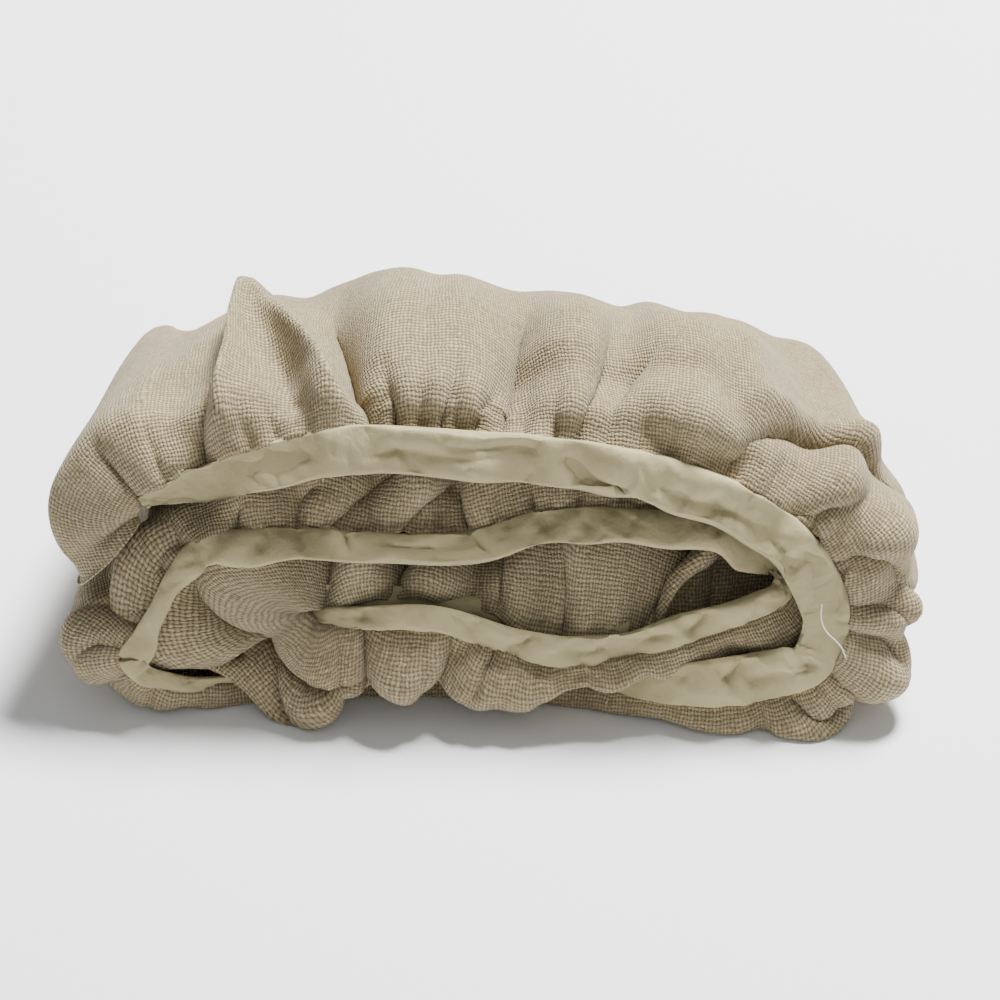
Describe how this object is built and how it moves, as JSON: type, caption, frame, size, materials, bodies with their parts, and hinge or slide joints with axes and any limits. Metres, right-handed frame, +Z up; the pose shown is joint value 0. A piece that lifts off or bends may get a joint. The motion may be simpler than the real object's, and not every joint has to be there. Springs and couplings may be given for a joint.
{
  "type": "bed skirt",
  "caption": "Gathered bed skirt of coarse linen-look cloth on a narrow cotton casing band, wound up loosely into a flattened roll for storage, band edge to the front.",
  "frame": {"origin": "middle of the box's base, on the surface that the roll lies on", "axes": "+X along the roll from its left end to its right end as seen from the front, +Y from the band edge to the folded back, +Z up"},
  "size_m": [0.4894, 0.2484, 0.1974],
  "materials": {
    "coarse_linen": "coarse natural basket weave with slubs, matt",
    "plain_cotton": "fine plain cotton, creased, matt",
    "white_thread": "white sewing thread"
  },
  "bodies": {
    "root": {"skirt": "coarse_linen", "band": "plain_cotton", "loose_thread": "white_thread"}
  },
  "joints": []
}
